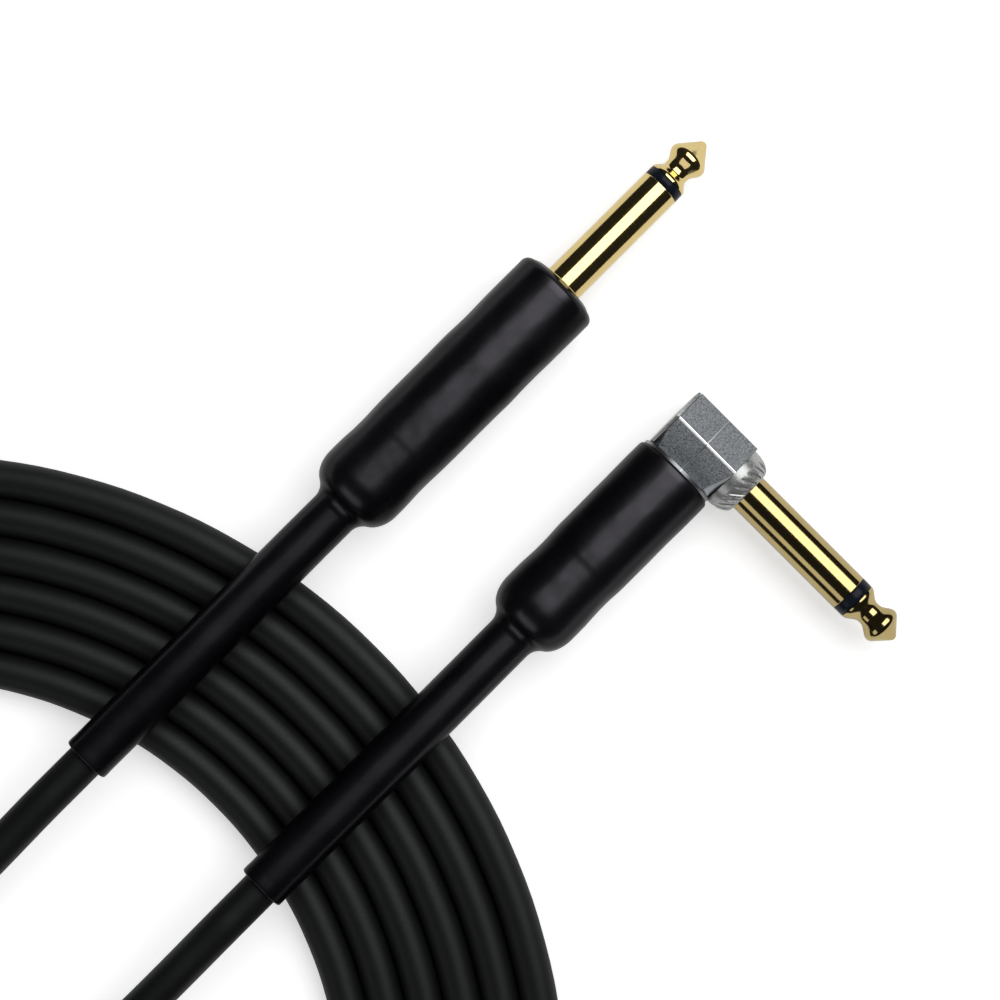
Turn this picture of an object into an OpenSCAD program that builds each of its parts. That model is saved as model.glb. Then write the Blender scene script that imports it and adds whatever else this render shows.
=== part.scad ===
// Instrument cable: a coiled cord with a straight and a right-angle 6.35 mm jack plug.
// The cable lies on the plane z = 0. The plugs point along +X and the origin is under their middle.

/* [Finger of both plugs] */
// Diameter of the finger
finger_d = 6.35; // [6.2:0.05:6.5]
// Length of the straight plug's end contact, from its black ring to the point
straight_tip_l = 8.3; // [8:0.1:9]
// Width of the straight plug's black ring
straight_band_w = 1.4; // [0.9:0.1:2]
// Length of the sleeve that shows on the straight plug
straight_sleeve_l = 21; // [19:0.1:23]
// Length of the angle plug's end contact, from its black ring to the point
angle_tip_l = 8.2; // [8:0.1:9]
// Width of the angle plug's black ring
angle_band_w = 1.7; // [0.9:0.1:2]
// Length of the sleeve that shows on the angle plug
angle_sleeve_l = 21.5; // [19:0.1:24]
// Diameter of the rod that carries the end contact
rod_d = 2.4; // [2:0.1:2.6]
// Diameter of the insulating tube round the rod
insulator_d = 4.1; // [3.6:0.1:4.6]

/* [Cord] */
// Diameter of the cord
cord_d = 5.8; // [5.4:0.1:5.8]
// Wall of the jacket
jacket_wall = 0.7; // [0.5:0.1:1]
// Wall of the copper shield
shield_wall = 0.4; // [0.2:0.1:0.6]
// Diameter of the centre conductor
conductor_d = 0.8; // [0.5:0.1:1]

/* [Straight plug] */
// Length of the wide part of the boot
straight_grip_l = 47; // [40:1:60]
// Length of the thin part of the boot, on the cord
straight_tube_l = 54; // [30:1:70]
// Diameter of the metal shell
straight_barrel_d = 12.8; // [12:0.1:13.5]

/* [Angle plug] */
// Length of the wide part of the boot
angle_grip_l = 33.6; // [30:0.5:45]
// Length of the thin part of the boot, on the cord
angle_tube_l = 54.4; // [30:1:70]
// Diameter of the metal shell
angle_barrel_d = 12.3; // [12:0.1:13]
// Width of the head between its two upright sides
head_w = 10.5; // [10.5:0.1:12]
// Length of the head along the finger, without its back cap
head_l = 11.75; // [10.5:0.05:13]
// Distance from the boot's axis to the front of the head
head_front = 6.25; // [6.2:0.05:6.8]
// Height of the head's ridge over the boot's axis
ridge_h = 6.3; // [6:0.1:6.8]
// Slope of the two faces beside the ridge, in degrees
ridge_slope = 25; // [20:1:28]
// Length of the fluted collar
collar_l = 3.7; // [3:0.1:5]
// Number of flutes round the collar
flutes = 22; // [12:1:26]

/* [Shrink boots] */
// Wall of the boot on the shell
boot_wall = 0.65; // [0.5:0.05:0.8]
// Diameter of the boot's thin part
tube_d = 7.6; // [7:0.1:8.4]

/* [Places] */
// Distance between the axes of the two plugs
plug_gap = 32; // [26:1:40]
// How far the angle plug's boot ends behind the straight plug's
plug_offset = 8; // [4:1:12]
// Room between the boots and the cord that they lie on
rest_gap = 0.3; // [0.2:0.1:1]

/* [Coil] */
// Distance between neighbouring turns
pitch = 5.85; // [5.8:0.05:6]
// Radius of the innermost turn where the turns lie side by side
front_r = 67.7; // [66:0.1:70]
// Radius of the innermost turn in its two corners
corner_r = 32; // [30:1:34]
// Width of the strap round the coil
strap_w = 12; // [8:1:14]
// Thickness of the strap
strap_t = 1.2; // [0.8:0.1:1.4]

/* [Hidden] */

$fn = 64;
fit = 0.05;
tiny = 0.01;
steps = 6;

// finger
finger_r = finger_d / 2;
rod_r = rod_d / 2;
insulator_r = insulator_d / 2;
sleeve_bore = insulator_r + fit;
rod_bore = rod_r + fit;
groove_flat = 0.4;
tip_edge = 0.15;

// end contacts
straight_groove_in = 1.7;
straight_groove_out = 2.2;
straight_groove_r = 2.13;
straight_ball_r = 3.15;
straight_ball_bend = 1.4;
straight_point_angle = 41.5;
straight_point_r = 0.45;
angle_groove_in = 2.35;
angle_groove_out = 2.3;
angle_groove_r = 1.98;
angle_ball_r = 3.05;
angle_ball_bend = 1.1;
angle_point_angle = 48;
angle_point_r = 0.6;

// cord layers
cord_r = cord_d / 2;
shield_r = cord_r - jacket_wall - fit;
core_r = shield_r - shield_wall - fit;
conductor_r = conductor_d / 2;
tail_r = 0.4;

// boots and shells
tube_r = tube_d / 2;
tube_bore = cord_r + fit;
shell_wall = 0.8;
liner_wall = 0.45;
neck_wall = 0.65;
neck_r = cord_r + 2 * fit + neck_wall;
lip_w = 0.65;
lip_dome = 0.35;
edge_r = 1.3;
bevel = 0.6;
waist = 0.2;

// straight plug, measured back from the front of its boot
straight_barrel_r = straight_barrel_d / 2;
straight_boot_r = straight_barrel_r + boot_wall;
straight_shoulder = 4.5;
straight_len = straight_grip_l + straight_tube_l;
rim_r = finger_r + 0.25;
rim_out = 0.15;
flange_front = lip_w + fit;
flange_w = 2;
flange_back = flange_front + flange_w;
bushing_r = 4.9;
bushing_back = 9;
plate_w = 0.6;
washer_w = 1;
straight_strip_at = bushing_back + fit;
straight_washer_at = straight_strip_at + plate_w + fit;
straight_lug_at = straight_washer_at + washer_w + fit;
straight_rod_back = straight_lug_at + plate_w + 0.55;
straight_conductor_at = straight_rod_back + 1.3;
straight_core_at = straight_conductor_at + 6.3;
straight_shield_at = straight_core_at + 4.5;
straight_jacket_at = straight_shield_at + 3.5;
straight_liner_at = straight_rod_back + 0.1;
straight_liner_l = 24;
strip_drop = 3.35;
strip_w = 4;
crimp_w = 5;
crimp_at = straight_jacket_at + 1.5;
crimp_open = 110;
lug_drop = 1.5;
lug_w = 3.2;
lug_l = 6.5;
lug_r = 2.7;
washer_r = 2.95;
clamp_r = 4.6;

// angle plug: x runs from the front of its boot, the finger points to -y
angle_barrel_r = angle_barrel_d / 2;
angle_boot_r = angle_barrel_r + boot_wall;
angle_shoulder = 4.7;
angle_len = angle_grip_l + angle_tube_l;
head_flange_w = 0.5;
head_flange_r = angle_barrel_r + 0.3;
head_x = head_flange_w + head_w / 2;
head_back = head_l - head_front;
side_h = ridge_h - head_w / 2 * tan(ridge_slope);
corner_round = 0.45;
blend_r = angle_barrel_r - 0.15;
blend_angle = 29.5;
spigot_r = angle_barrel_r - shell_wall - 0.15;
spigot_l = 6;
wire_bore = 3.4;
cavity_r = 4.3;
front_wall = 1.75;
cap_gap = 0.1;
cap_w = 0.4;
cap_edge = 0.15;
cap_plug_l = 1.6;
finger_root = head_front + collar_l;
collar_r = 5.2;
collar_nose_r = 3.8;
collar_band = 0.4;
collar_fullness = 1.3;
shank_r = 3.6;
flute_r = 0.36;
flute_at = 4.9;
flute_back = 1.2;
flute_l = 3.6;
flute_tilt = 32;
flute_lean = 27;
angle_flange_front = collar_l + front_wall + fit;
angle_flange_w = 1.2;
angle_sleeve_back = angle_flange_front + angle_flange_w;
angle_ring_at = angle_sleeve_back + fit;
angle_ring_w = 0.55;
angle_ring_r = 3.9;
angle_washer_at = angle_ring_at + angle_ring_w + fit;
angle_washer_w = 0.95;
angle_washer_r = 3.6;
angle_lug_at = angle_washer_at + angle_washer_w + fit;
angle_rod_back = angle_lug_at + angle_ring_w + 0.7;
tongue_w = 2;
ground_tongue_x = -7;
tip_tongue_x = 0;
ground_face = finger_root - angle_ring_at - angle_ring_w;
tip_face = finger_root - angle_lug_at - angle_ring_w;
angle_conductor_x = head_x - rod_r - 0.75;
angle_core_x = -2;
angle_shield_x = -6.5;
angle_jacket_x = -9;
angle_tail_end = -3.4;
angle_liner_front = spigot_l + 2;
angle_liner_l = 20;

// the cord's way round the coil
coil_x = -123.7;
coil_y = 14.6;
flat_half = 38;
corner_end = 106;
gather_from = 40;
gather_to = 118;
stack_angle = 60;
stack_extra = 0.9;
side_extra = 0.55;
strap_at = 232.5;
strap_half = 26;
strap_room = 0.45;
strap_lift = strap_t + strap_room + 0.25;
raised = [1, 3];
turns = 5;
coil_start = -165;
start_from = 225;
start_room = 1.8;
coil_end = turns * 360 + 135;
ring_step = 15;
coil_sides = 6;
lead_sides = 10;
straight_end = 6;
lead_out = 9;
least_gap = 0.4;

// Points of the two leads, in order along each, between their computed ends.
straight_route = [
    [-86, 33, 10.6], [-97, 33, 7.2], [-108, 33, 4.2], [-118, 33, 2.9],
    [-126, 31.8, 2.9], [-134, 26.9, 2.9], [-138.8, 19.2, 2.9], [-140.2, 13.2, 2.9]
];
angle_route = [
    [-151.5, 57.4, 3.9], [-155.8, 48.5, 7], [-158.9, 38.5, 10.4], [-159.6, 28, 13.2],
    [-157.2, 18.5, 14.4], [-151.5, 10, 14.4], [-143.5, 4, 14.2], [-134, 1.3, 12.9],
    [-123, 1, 11], [-112, 1, 9.2], [-101, 1, 8.4], [-91, 1, 8.6], [-80, 1, 9.8]
];

// ---- Places of the two plugs ----

// Lowest reach of a round outline [along the axis, radius] under an axis that dips by tilt.
function reach(outline, tilt) = max([for (p = outline) p[1] * cos(tilt) + p[0] * sin(tilt)]);

// The thin part lies on the outermost turn and the front of the wide part on the plane.
turn_top = cord_d + rest_gap;
outer_x = coil_x + front_r + turns * pitch;
function dip(barrel_front, boot_r) = atan((turn_top + tube_r - boot_r) / (barrel_front - outer_x));
straight_finger_l = straight_sleeve_l + straight_band_w + straight_tip_l;
angle_finger_l = angle_sleeve_l + angle_band_w + angle_tip_l;
straight_total = straight_finger_l + straight_len;
level_front = straight_total / 2 - straight_finger_l;
straight_tilt = dip(level_front, straight_boot_r);
angle_tilt = dip(level_front - plug_offset, angle_boot_r);

span_x = straight_total * cos(straight_tilt) + tube_r * sin(straight_tilt);
straight_x = span_x / 2 - straight_finger_l * cos(straight_tilt);
angle_reach_y = finger_root + angle_finger_l;
straight_y = (plug_gap + angle_reach_y - straight_boot_r) / 2;
angle_y = straight_y - plug_gap;
angle_x = straight_x - plug_offset;
straight_outer = boot_outer(straight_grip_l, straight_tube_l, straight_boot_r, straight_shoulder, true);
angle_outer = boot_outer(angle_grip_l, angle_tube_l, angle_boot_r, angle_shoulder, false);
straight_z = reach(straight_outer, straight_tilt);
head_reach = ridge_h * cos(angle_tilt) + head_x * sin(angle_tilt);
boot_reach = reach(angle_outer, angle_tilt);
angle_z = max(head_reach, boot_reach);

function placed(at, tilt, p) = [
    at[0] + p[0] * cos(tilt) + p[2] * sin(tilt),
    at[1] + p[1],
    at[2] - p[0] * sin(tilt) + p[2] * cos(tilt)
];
straight_at = [straight_x, straight_y, straight_z];
angle_at = [angle_x, angle_y, angle_z];

module straight_place() {
    translate(straight_at) rotate([0, straight_tilt, 0]) children();
}

module angle_place() {
    translate(angle_at) rotate([0, angle_tilt, 0]) children();
}

// Turns a shape about Z into one about X, with its +Z end to the front.
module forward() {
    rotate([0, 90, 0]) children();
}

// Turns a shape about Z into one on the angle plug's finger axis, with z = 0 at its root.
module on_finger() {
    translate([head_x, -finger_root, 0]) rotate([90, 0, 0]) children();
}

// A solid of revolution about Z from [z, radius] points.
module turned(outline) {
    rotate_extrude() polygon([for (p = outline) [p[1], p[0]]]);
}

// A round piece between two heights, with a bore.
module tube(from, to, r, bore) {
    difference() {
        translate([0, 0, from]) cylinder(h = to - from, r = r);
        translate([0, 0, from - 1]) cylinder(h = to - from + 2, r = bore);
    }
}

// ---- Outlines ----

// Half wave from one radius to another over a length.
function wave(z, l, r0, r1) = [
    for (k = [0:steps]) [z + l * k / steps, r0 + (r1 - r0) * (1 - cos(180 * k / steps)) / 2]
];

// Arc about [z, r] from one angle to another, 0 towards the front and 90 outwards.
function arc(z, r, radius, from, to) = [
    for (k = [0:steps])
        let (a = from + (to - from) * k / steps)
        [z + radius * cos(a), r + radius * sin(a)]
];

// The end contact from the ring's front: a groove, a ball and a cone with a blunt point.
function tip_outline(z, l, groove_in, groove_out, groove_r, ball_r, ball_bend, point_angle, point_r) =
    let (groove_from = z + tip_edge, groove_to = groove_from + groove_in + groove_flat)
    concat(
        [[z, finger_r - tiny]],
        wave(groove_from, groove_in, finger_r - tiny, groove_r),
        wave(groove_to, groove_out, groove_r, ball_r),
        arc(groove_to + groove_out, ball_r - ball_bend, ball_bend, 90, 90 - point_angle),
        arc(z + l - point_r, 0, point_r, 90 - point_angle, 0)
    );

// Quarter ellipse from a neck up to the full radius of a shell.
function shoulder(z, l, r0, r1) = [
    for (k = [0:steps]) [z + l * (1 - cos(90 * k / steps)), r0 + (r1 - r0) * sin(90 * k / steps)]
];

// Shallow dent of a waist, as a drop in radius at a distance behind the front.
function dent(back, middle, half) =
    abs(back - middle) < half ? waist * (1 + cos(180 * (back - middle) / half)) / 2 : 0;
function grip_r(r, back, length, long) =
    r - (long ? dent(back, 14, 4) + dent(back, length - 10.5, 5) : dent(back, length - 11, 5));

// The outside of a boot as [z, radius], z = 0 at its front.
function boot_outer(grip_l, tube_l, r, shoulder_l, domed) = concat(
    [[-grip_l - tube_l, tube_bore + 0.3], [-grip_l - tube_l, tube_r - 0.25]],
    [[-grip_l - tube_l + 0.25, tube_r]],
    shoulder(-grip_l, shoulder_l, tube_r, r),
    [for (back = [grip_l - shoulder_l - 2:-2:4]) [-back, grip_r(r, back, grip_l, domed)]],
    domed
        ? arc(-edge_r - lip_dome, r - edge_r, edge_r, 90, 12)
        : arc(-0.5, r - 0.5, 0.5, 90, 0)
);

// ---- Pieces that both plugs have ----

module tip(z, back, outline) {
    color("gold") difference() {
        union() {
            turned(concat([[z, 0]], outline));
            translate([0, 0, -back]) cylinder(h = back + z + tiny, r = rod_r);
        }
        translate([0, 0, -back - rod_r]) cylinder(h = rod_r * 4 / 3, r = rod_r / 3);
    }
}

module tip_insulator(z, back, band_w) {
    color([0.06, 0.06, 0.08]) difference() {
        union() {
            translate([0, 0, z + tiny]) cylinder(h = band_w - 2 * tiny, r = finger_r - 2 * tiny);
            translate([0, 0, -back]) cylinder(h = back + z + band_w / 2, r = insulator_r);
        }
        translate([0, 0, -back - band_w]) cylinder(h = back + z + 3 * band_w, r = rod_bore);
    }
}

module shell(length, r, shoulder_l, front, front_bore, front_bore_l) {
    rear = -length + boot_wall;
    inner = r - shell_wall;
    color("silver") difference() {
        turned(concat(
            [[rear, 0]],
            shoulder(rear, shoulder_l - boot_wall, neck_r, r),
            [[-front, r], [-front, 0]]
        ));
        turned(concat(
            [[rear + 0.8, 0]],
            shoulder(rear + 0.8, shoulder_l - boot_wall, neck_r - 0.4, inner),
            [[-front_bore_l, inner], [-front_bore_l, 0]]
        ));
        translate([0, 0, -front_bore_l - 1]) cylinder(h = front_bore_l + 2, r = front_bore);
        translate([0, 0, rear - 1]) cylinder(h = 3, r = cord_r + 2 * fit);
    }
}

module boot(grip_l, tube_l, r, shoulder_l, barrel_r, domed, front_hole) {
    rear = -grip_l + boot_wall - fit;
    outer = boot_outer(grip_l, tube_l, r, shoulder_l, domed);
    front = outer[len(outer) - 1];
    color([0.07, 0.07, 0.08]) difference() {
        turned(concat([[-grip_l - tube_l, 0]], outer, domed ? [[0, front_hole], [0, 0]] : [[0, 0]]));
        turned(concat(
            [[rear, 0]],
            shoulder(rear, shoulder_l - boot_wall, neck_r + fit, barrel_r + fit),
            domed
                ? [[-lip_w - bevel, barrel_r + fit], [-lip_w, barrel_r + fit - bevel], [-lip_w, 0]]
                : [[1, barrel_r + fit], [1, 0]]
        ));
        translate([0, 0, -lip_w - 1]) cylinder(h = lip_w + 2, r = front_hole);
        translate([0, 0, -grip_l - tube_l - 1]) cylinder(h = tube_l + 3, r = tube_bore);
    }
}

// ---- Straight plug ----

module straight_tip() {
    z = straight_sleeve_l + straight_band_w;
    straight_place() forward() tip(z, straight_rod_back, tip_outline(
        z, straight_tip_l, straight_groove_in, straight_groove_out, straight_groove_r,
        straight_ball_r, straight_ball_bend, straight_point_angle, straight_point_r
    ));
}

module straight_tip_insulator() {
    straight_place() forward() tip_insulator(straight_sleeve_l, bushing_back, straight_band_w);
}

module straight_sleeve() {
    color("gold") straight_place() forward() difference() {
        turned([
            [-bushing_back, 0], [-bushing_back, bushing_r - 0.3], [-bushing_back + 0.3, bushing_r],
            [-flange_back, bushing_r], [-flange_back, straight_barrel_r],
            [-flange_front - bevel, straight_barrel_r], [-flange_front, straight_barrel_r - bevel],
            [-flange_front, rim_r], [rim_out, rim_r],
            [rim_out, finger_r], [straight_sleeve_l - 0.1, finger_r],
            [straight_sleeve_l, finger_r - 0.1], [straight_sleeve_l, 0]
        ]);
        translate([0, 0, -bushing_back - 1])
            cylinder(h = bushing_back + straight_sleeve_l + 2, r = sleeve_bore);
    }
}

module straight_ground_clamp() {
    strip_back = crimp_at + crimp_w;
    color("gainsboro") straight_place() difference() {
        union() {
            forward() translate([0, 0, -straight_strip_at - plate_w]) cylinder(h = plate_w, r = clamp_r);
            translate([-strip_back, -strip_w / 2, -strip_drop - plate_w])
                cube([strip_back - straight_strip_at, strip_w, plate_w]);
            forward() translate([0, 0, -strip_back]) rotate([0, 0, crimp_open / 2 - 180])
                rotate_extrude(angle = 360 - crimp_open)
                    translate([cord_r + fit, 0]) square([plate_w, crimp_w]);
        }
        forward() translate([0, 0, -straight_strip_at - 2 * plate_w])
            cylinder(h = 3 * plate_w, r = sleeve_bore);
    }
}

module straight_rear_washer() {
    color("saddlebrown") straight_place() forward()
        tube(-straight_washer_at - washer_w, -straight_washer_at, washer_r, rod_bore);
}

module straight_tip_lug() {
    color("gainsboro") straight_place() difference() {
        union() {
            forward() translate([0, 0, -straight_lug_at - plate_w]) cylinder(h = plate_w, r = lug_r);
            translate([-straight_lug_at - plate_w - lug_l, -lug_w / 2, -lug_drop - plate_w])
                cube([lug_l + plate_w, lug_w, plate_w]);
        }
        forward() translate([0, 0, -straight_lug_at - 2 * plate_w]) cylinder(h = 3 * plate_w, r = rod_bore);
    }
}

module straight_barrel() {
    straight_place() forward() shell(
        straight_grip_l, straight_barrel_r, straight_shoulder,
        flange_back + fit, bushing_r + fit, bushing_back + 0.2
    );
}

module straight_liner() {
    r = straight_barrel_r - shell_wall - fit;
    color("white") straight_place() forward()
        tube(-straight_liner_at - straight_liner_l, -straight_liner_at, r, r - liner_wall);
}

module straight_boot() {
    straight_place() forward() boot(
        straight_grip_l, straight_tube_l, straight_boot_r, straight_shoulder,
        straight_barrel_r, true, rim_r + fit
    );
}

module straight_jacket() {
    color("dimgray") straight_place() forward()
        tube(-straight_len, -straight_jacket_at, cord_r, shield_r + fit);
}

module straight_shield() {
    tail_at = straight_shield_at - 0.6;
    color("peru") straight_place() {
        forward() tube(-straight_len, -straight_shield_at, shield_r, core_r + fit);
        translate([-straight_shield_at - 0.6, 0, -core_r - tail_r - 0.1])
            rotate([0, 90 + 8, 0]) cylinder(h = 4.6, r = tail_r);
    }
}

module straight_core() {
    color("ivory") straight_place() forward()
        tube(-straight_len, -straight_core_at, core_r, conductor_r + fit);
}

module straight_conductor() {
    color("chocolate") straight_place() forward() translate([0, 0, -straight_len])
        cylinder(h = straight_len - straight_conductor_at, r = conductor_r);
}

module straight_tip_solder() {
    blob_r = 1.5;
    color("lightsteelblue") straight_place() difference() {
        translate([-straight_lug_at - plate_w - lug_l / 2 - 1, 0, -lug_drop / 2]) sphere(r = blob_r);
        translate([-straight_len / 2, 0, -lug_drop - 5 + fit]) cube([straight_len, 10, 10], center = true);
        translate([-straight_len, 0, 0]) forward() cylinder(h = straight_len, r = conductor_r + fit);
    }
}

module straight_ground_solder() {
    blob_r = 1.15;
    color("lightsteelblue") straight_place() difference() {
        translate([-straight_shield_at + 3.6, 0, -strip_drop]) sphere(r = blob_r);
        translate([-straight_len / 2, 0, -strip_drop - 5 + fit]) cube([straight_len, 10, 10], center = true);
        translate([-straight_shield_at - 0.6, 0, -core_r - tail_r - 0.1])
            rotate([0, 90 + 8, 0]) cylinder(h = 4.7, r = tail_r + fit);
    }
}

// ---- Angle plug ----

module angle_tip() {
    z = angle_sleeve_l + angle_band_w;
    angle_place() on_finger() tip(z, angle_rod_back, tip_outline(
        z, angle_tip_l, angle_groove_in, angle_groove_out, angle_groove_r,
        angle_ball_r, angle_ball_bend, angle_point_angle, angle_point_r
    ));
}

module angle_tip_insulator() {
    angle_place() on_finger() tip_insulator(angle_sleeve_l, angle_sleeve_back, angle_band_w);
}

module angle_sleeve() {
    color("gold") angle_place() on_finger() difference() {
        turned([
            [-angle_sleeve_back, 0], [-angle_sleeve_back, cavity_r - fit - 0.1],
            [-angle_flange_front, cavity_r - fit - 0.1], [-angle_flange_front, shank_r], [0, shank_r],
            [0, finger_r], [angle_sleeve_l - 0.1, finger_r], [angle_sleeve_l, finger_r - 0.1],
            [angle_sleeve_l, 0]
        ]);
        translate([0, 0, -angle_sleeve_back - 1])
            cylinder(h = angle_sleeve_back + angle_sleeve_l + 2, r = sleeve_bore);
    }
}

module angle_collar() {
    nose = collar_r - collar_nose_r;
    bend = collar_l - collar_band;
    color("silver") angle_place() on_finger() difference() {
        turned(concat(
            [[-collar_l + fit, 0], [-collar_l + fit, collar_r]],
            [for (k = [0:steps]) [
                bend * (sin(90 * k / steps) - 1),
                collar_nose_r + nose * pow(cos(90 * k / steps), collar_fullness)
            ]],
            [[0, 0]]
        ));
        translate([0, 0, -collar_l - 1]) cylinder(h = collar_l + 2, r = shank_r + fit);
        for (k = [1:flutes])
            rotate([0, 0, 360 * k / flutes]) translate([flute_at, 0, -flute_back])
                rotate([flute_tilt, -flute_lean, 0])
                    cylinder(h = flute_l, r = flute_r, center = true, $fn = 12);
    }
}

// A polygon's corners cut round by a radius, for corners that turn less than a right angle.
function rounded(points, radius) = [
    for (i = [0:len(points) - 1])
        let (
            p = points[i],
            a = points[(i + len(points) - 1) % len(points)] - p,
            b = points[(i + 1) % len(points)] - p,
            ua = a / norm(a),
            ub = b / norm(b),
            half = acos(ua * ub) / 2,
            mid = (ua + ub) / norm(ua + ub),
            centre = p + mid * radius / sin(half),
            first = p + ua * radius / tan(half) - centre,
            start = atan2(first[1], first[0]),
            turn = 180 - 2 * half
        )
        for (k = [0:4]) centre + radius * [cos(start + turn * k / 4), sin(start + turn * k / 4)]
];

// The head's section across the finger: upright sides and two roofs that meet in a ridge.
head_section = [
    [head_w / 2, -side_h], [head_w / 2, side_h], [0, ridge_h],
    [-head_w / 2, side_h], [-head_w / 2, -side_h], [0, -ridge_h]
];

module head_prism(from, to, shrink) {
    section = [for (p = head_section) p * (1 - shrink / ridge_h)];
    translate([head_x, to, 0]) rotate([90, 0, 0])
        linear_extrude(to - from) polygon(rounded(section, corner_round));
}

module angle_head() {
    color("gray") angle_place() difference() {
        union() {
            intersection() {
                head_prism(-head_front, head_back, 0);
                translate([head_flange_w, 0, 0]) forward()
                    cylinder(h = head_w, r1 = blend_r, r2 = blend_r + head_w * tan(blend_angle));
            }
            forward() cylinder(h = head_flange_w + tiny, r = head_flange_r);
            translate([-spigot_l, 0, 0]) forward() cylinder(h = spigot_l + head_flange_w, r = spigot_r);
        }
        translate([-spigot_l - 1, 0, 0]) forward() cylinder(h = spigot_l + head_x, r = wire_bore);
        on_finger() translate([0, 0, -finger_root - head_back - 1])
            cylinder(h = head_back + 1 + head_front - front_wall, r = cavity_r);
        on_finger() translate([0, 0, -finger_root]) cylinder(h = finger_root, r = shank_r + fit);
    }
}

module angle_back_cap() {
    from = head_back + cap_gap;
    color("gray") angle_place() {
        intersection() {
            union() {
                head_prism(from, from + cap_w - cap_edge, cap_edge / 2);
                head_prism(from, from + cap_w, cap_edge);
            }
            translate([0, from + cap_w / 2, 0]) cube([4 * head_w, cap_w, 4 * head_w], center = true);
        }
        on_finger() translate([0, 0, -finger_root - from - tiny])
            cylinder(h = cap_plug_l + cap_gap + tiny, r = cavity_r - fit);
    }
}

module angle_ring(at, r) {
    on_finger() translate([0, 0, -at - angle_ring_w]) cylinder(h = angle_ring_w, r = r);
}

module angle_ground_lug() {
    color("gainsboro") angle_place() difference() {
        union() {
            angle_ring(angle_ring_at, angle_ring_r);
            translate([ground_tongue_x, -ground_face - angle_ring_w, -tongue_w / 2])
                cube([head_x - ground_tongue_x, angle_ring_w, tongue_w]);
        }
        on_finger() translate([0, 0, -angle_ring_at - 2 * angle_ring_w])
            cylinder(h = 3 * angle_ring_w, r = sleeve_bore);
    }
}

module angle_rear_washer() {
    color("saddlebrown") angle_place() on_finger()
        tube(-angle_washer_at - angle_washer_w, -angle_washer_at, angle_washer_r, rod_bore);
}

module angle_tip_lug() {
    color("gainsboro") angle_place() difference() {
        union() {
            angle_ring(angle_lug_at, lug_r);
            translate([tip_tongue_x, -tip_face - angle_ring_w, -tongue_w / 2])
                cube([head_x - tip_tongue_x, angle_ring_w, tongue_w]);
        }
        on_finger() translate([0, 0, -angle_lug_at - 2 * angle_ring_w])
            cylinder(h = 3 * angle_ring_w, r = rod_bore);
    }
}

module angle_barrel() {
    angle_place() forward()
        shell(angle_grip_l, angle_barrel_r, angle_shoulder, fit, spigot_r + fit, spigot_l + 0.2);
}

module angle_liner() {
    r = angle_barrel_r - shell_wall - fit;
    color("white") angle_place() forward()
        tube(-angle_liner_front - angle_liner_l, -angle_liner_front, r, r - liner_wall);
}

module angle_boot() {
    angle_place() forward() boot(
        angle_grip_l, angle_tube_l, angle_boot_r, angle_shoulder,
        angle_barrel_r, false, angle_barrel_r + fit
    );
}

module angle_jacket() {
    color("dimgray") angle_place() forward() tube(-angle_len, angle_jacket_x, cord_r, shield_r + fit);
}

module angle_shield() {
    color("peru") angle_place() {
        forward() tube(-angle_len, angle_shield_x, shield_r, core_r + fit);
        translate([angle_shield_x - 0.6, -core_r - tail_r - 0.1, 0]) forward()
            cylinder(h = angle_tail_end - angle_shield_x + 0.6, r = tail_r);
    }
}

module angle_core() {
    color("ivory") angle_place() forward() tube(-angle_len, angle_core_x, core_r, conductor_r + fit);
}

module angle_conductor() {
    color("chocolate") angle_place() forward() translate([0, 0, -angle_len])
        cylinder(h = angle_len + angle_conductor_x, r = conductor_r);
}

module angle_tip_solder() {
    blob_r = 1.3;
    color("lightsteelblue") angle_place() difference() {
        translate([1.6, -tip_face / 2, 0]) sphere(r = blob_r);
        translate([0, -tip_face - 4 * blob_r + fit, 0]) cube(8 * blob_r, center = true);
        translate([-3 * blob_r, 0, 0]) forward() cylinder(h = 9 * blob_r, r = conductor_r + fit);
    }
}

module angle_ground_solder() {
    blob_r = 0.85;
    color("lightsteelblue") angle_place() difference() {
        translate([angle_tail_end - 0.6, -ground_face, 0]) rotate([90, 0, 0]) sphere(r = blob_r);
        translate([angle_tail_end, -ground_face - 4 * blob_r + fit, 0]) cube(8 * blob_r, center = true);
        translate([angle_shield_x, -core_r - tail_r - 0.1, 0]) forward()
            cylinder(h = angle_tail_end - angle_shield_x + fit, r = tail_r + fit);
    }
}

// ---- Cord ----

function smooth(t) = let (c = min(max(t, 0), 1)) c * c * (3 - 2 * c);
function folded(a) = let (b = a - 360 * floor(a / 360)) b <= 180 ? b : 360 - b;

// The innermost turn is made of a front arc, two corner arcs and a back arc, by the direction it faces.
corner_up = (front_r - corner_r) * sin(flat_half);
corner_x = coil_x + (front_r - corner_r) * cos(flat_half);
back_r = corner_r + corner_up / sin(corner_end);
back_x = corner_x - (back_r - corner_r) * cos(corner_end);
function inner_turn(a) =
    let (f = folded(a), side = sin(a) < 0 ? -1 : 1)
    f <= flat_half ? [coil_x + front_r * cos(f), coil_y + side * front_r * sin(f)]
    : f <= corner_end ? [corner_x + corner_r * cos(f), coil_y + side * (corner_up + corner_r * sin(f))]
    : [back_x + back_r * cos(f), coil_y + side * back_r * sin(f)];

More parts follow.
